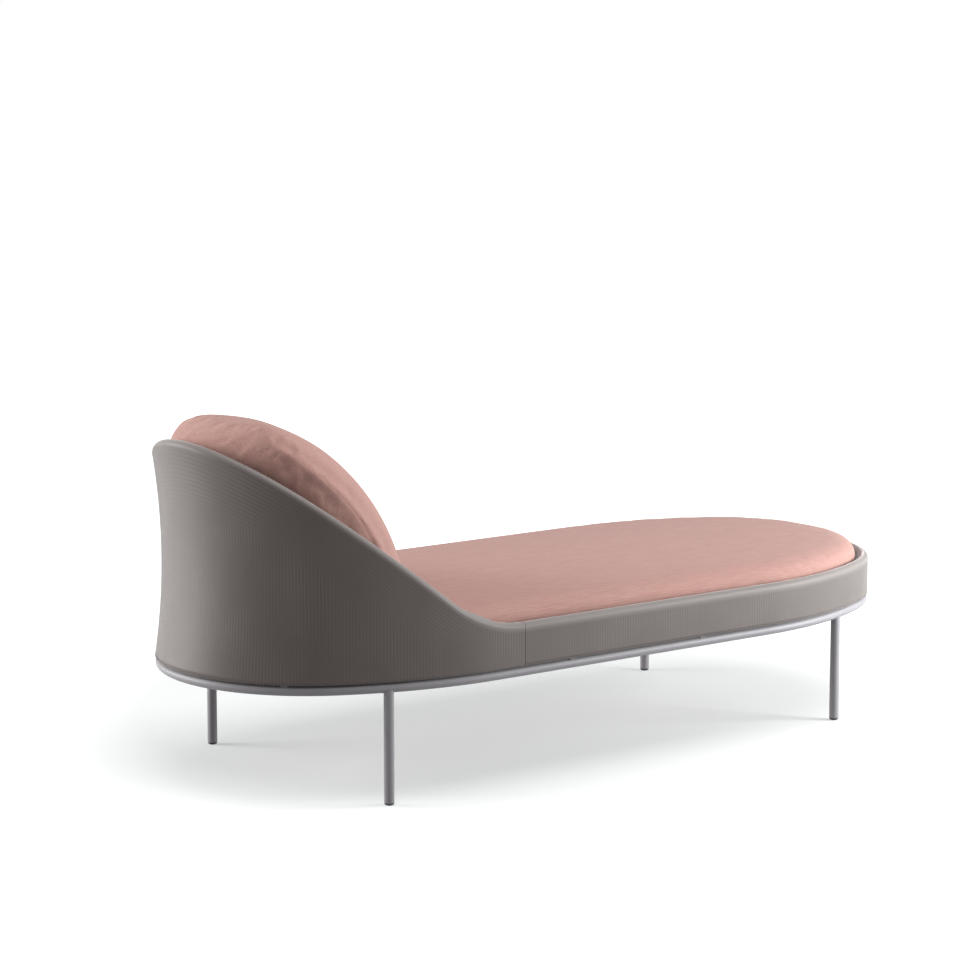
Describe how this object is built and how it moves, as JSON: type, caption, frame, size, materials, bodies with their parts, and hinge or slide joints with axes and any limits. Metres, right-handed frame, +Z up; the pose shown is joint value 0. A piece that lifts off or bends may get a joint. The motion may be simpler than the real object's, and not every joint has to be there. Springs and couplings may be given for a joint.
{
  "type": "outdoor chaise longue",
  "caption": "Oval outdoor chaise longue: a tube ring on slim legs carries a mesh shell whose rim sweeps up into a back, with a loose seat cushion and back cushion inside.",
  "frame": {"origin": "on the floor under the middle of the ring", "axes": "+X along the length to the foot end, the back is at -X, +Z up"},
  "size_m": [1.8884, 0.7934, 0.793],
  "materials": {
    "base_frame": "satin powder coat",
    "shell_frame": "powder coat",
    "glide": "moulded",
    "mesh": "coated open mesh",
    "cushion": "woven slub outdoor cloth"
  },
  "bodies": {
    "frame": {"back_cover": "mesh", "base_ring": "base_frame", "foot_cover": "mesh", "hoop_back_bow": "shell_frame", "hoop_foot_bow": "shell_frame", "leg_foot_left": "base_frame", "leg_foot_right": "base_frame", "leg_glides": "glide", "leg_head_left": "base_frame", "leg_head_right": "base_frame", "rim_back_bow": "shell_frame", "rim_foot_bow": "shell_frame", "seat_slat_01": "base_frame", "seat_slat_02": "base_frame", "seat_slat_03": "base_frame", "seat_slat_04": "base_frame", "seat_slat_05": "base_frame", "seat_slat_06": "base_frame", "seat_slat_07": "base_frame", "seat_slat_08": "base_frame", "seat_slat_09": "base_frame", "seat_slat_10": "base_frame", "seat_slat_11": "base_frame", "seat_slat_12": "base_frame", "seat_slat_13": "base_frame", "shell_pads": "base_frame", "upright_foot_corner_left": "shell_frame", "upright_foot_corner_right": "shell_frame", "upright_foot_side_left": "shell_frame", "upright_foot_side_right": "shell_frame", "upright_head_corner_left": "shell_frame", "upright_head_corner_right": "shell_frame", "upright_head_side_left": "shell_frame", "upright_head_side_right": "shell_frame"},
    "seat": {"seat_cushion": "cushion"},
    "back": {"back_cushion": "cushion"}
  },
  "joints": [
    {"name": "seat_lift", "type": "slide", "parent": "frame", "child": "seat", "axis": [0, 0, 1], "range_m": [0, 0.55]},
    {"name": "back_lift", "type": "slide", "parent": "seat", "child": "back", "axis": [0, 0, 1], "range_m": [0, 0.42]}
  ]
}
